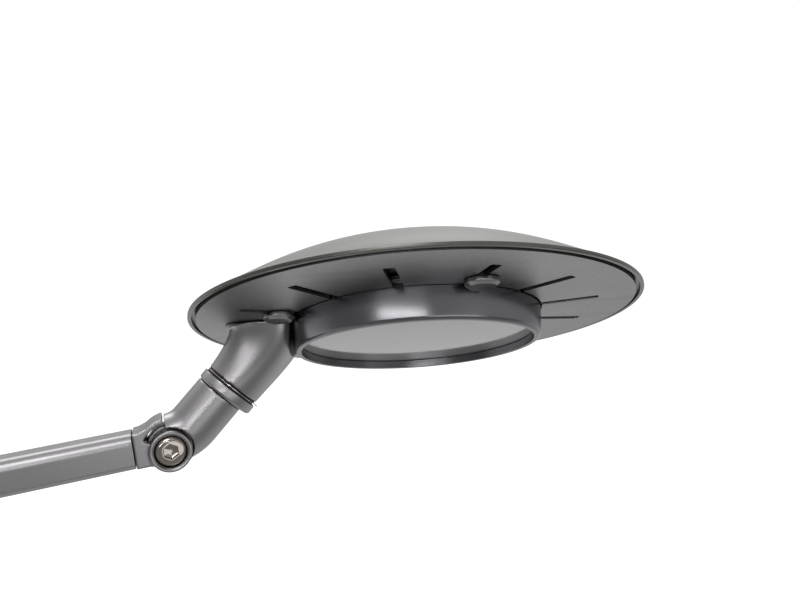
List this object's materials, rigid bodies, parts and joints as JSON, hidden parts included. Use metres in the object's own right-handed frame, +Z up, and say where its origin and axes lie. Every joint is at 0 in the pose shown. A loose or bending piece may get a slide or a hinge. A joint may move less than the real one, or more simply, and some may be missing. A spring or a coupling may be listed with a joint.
{
  "type": "extendable wall arm with round swivel head",
  "caption": "Small domed round head with a slotted underside and a recessed glass disc in a metal ring, on a swivelling neck and a folding wall arm with friction hinges.",
  "frame": {"origin": "centre of the wall plate's flat back face", "axes": "+X leaves the wall, +Z is up, +Y completes the right-handed frame and runs along every friction hinge"},
  "size_m": [0.3652, 0.0812, 0.2289],
  "materials": {
    "satin_metal": "satin silver-grey, cast and blasted",
    "link_metal": "satin silver-grey, extruded",
    "ring_metal": "satin silver-grey, turned",
    "plate_metal": "satin silver-grey sheet",
    "button_metal": "satin silver-grey, turned",
    "dome_metal": "satin warm grey, spun",
    "carrier_metal": "plain sheet",
    "plate_steel": "zinc plated",
    "screw_steel": "bright nickel",
    "black_steel": "black oxide",
    "black_rubber": "matt",
    "nylon": "natural nylon",
    "white_enamel": "white",
    "led_yellow": "phosphor",
    "opal_glass": "polished opal",
    "black_nylon": "black nylon"
  },
  "bodies": {
    "wall_bracket": {"wall_plate": "plate_steel", "wall_screw_top": "screw_steel", "wall_screw_bottom": "screw_steel", "stem_bracket": "satin_metal", "bracket_bolt_left": "screw_steel", "bracket_bolt_right": "screw_steel", "wall_cover": "satin_metal", "cover_collar": "satin_metal", "cover_grub_screw": "black_steel"},
    "post": {"shoulder_post": "satin_metal", "post_thrust_washer": "nylon", "post_spring_washer": "screw_steel", "post_nut": "screw_steel"},
    "lower_link": {"lower_link_profile": "link_metal", "lower_link_cover_strip": "link_metal", "lower_link_rear_fork": "satin_metal", "lower_link_front_tongue": "satin_metal", "shoulder_screw": "screw_steel", "shoulder_nut": "screw_steel", "shoulder_washer_rear": "nylon", "shoulder_washer_front": "nylon"},
    "upper_link": {"upper_link_profile": "link_metal", "upper_link_cover_strip": "link_metal", "upper_link_rear_fork": "satin_metal", "upper_link_front_fork": "satin_metal", "mid_hinge_screw": "screw_steel", "mid_hinge_nut": "screw_steel", "mid_hinge_washer_rear": "nylon", "mid_hinge_washer_front": "nylon", "elbow_screw": "screw_steel", "elbow_nut": "screw_steel", "elbow_washer_rear": "nylon", "elbow_washer_front": "nylon"},
    "neck": {"neck_elbow": "satin_metal", "swivel_collar": "satin_metal", "swivel_spigot": "screw_steel"},
    "head": {"swivel_lower_friction_washer": "black_nylon", "swivel_tab_washer": "screw_steel", "swivel_upper_friction_washer": "black_nylon", "swivel_grub_screw": "black_steel", "head_bracket": "satin_metal", "bracket_screw_front": "screw_steel", "bracket_screw_rear": "screw_steel", "slot_plate": "plate_metal", "plate_button_1": "button_metal", "plate_button_2": "button_metal", "plate_button_3": "button_metal", "plate_button_4": "button_metal", "window_ring": "ring_metal", "front_glass": "opal_glass", "glass_gasket": "black_rubber", "reflector": "white_enamel", "led_emitter": "led_yellow", "led_board": "white_enamel", "lamp_carrier": "carrier_metal", "dome_cover": "dome_metal"}
  },
  "joints": [
    {"name": "post_turn", "type": "hinge", "parent": "wall_bracket", "child": "post", "pos_m": [0.036, 0, 0], "axis": [0, 0, 1], "range_deg": [-80, 80]},
    {"name": "shoulder_tilt", "type": "hinge", "parent": "post", "child": "lower_link", "pos_m": [0.036, 0, 0.024], "axis": [0, 1, 0], "range_deg": [-36, 52]},
    {"name": "mid_tilt", "type": "hinge", "parent": "lower_link", "child": "upper_link", "pos_m": [0.12835, 0, 0.1422], "axis": [0, 1, 0], "range_deg": [-42, 75]},
    {"name": "elbow_tilt", "type": "hinge", "parent": "upper_link", "child": "neck", "pos_m": [0.27723, 0, 0.16048], "axis": [0, 1, 0], "range_deg": [0, 90]},
    {"name": "head_swivel", "type": "hinge", "parent": "neck", "child": "head", "pos_m": [0.28775, 0, 0.16991], "axis": [0.6691, 0, 0.7431], "range_deg": [-120, 170]}
  ]
}
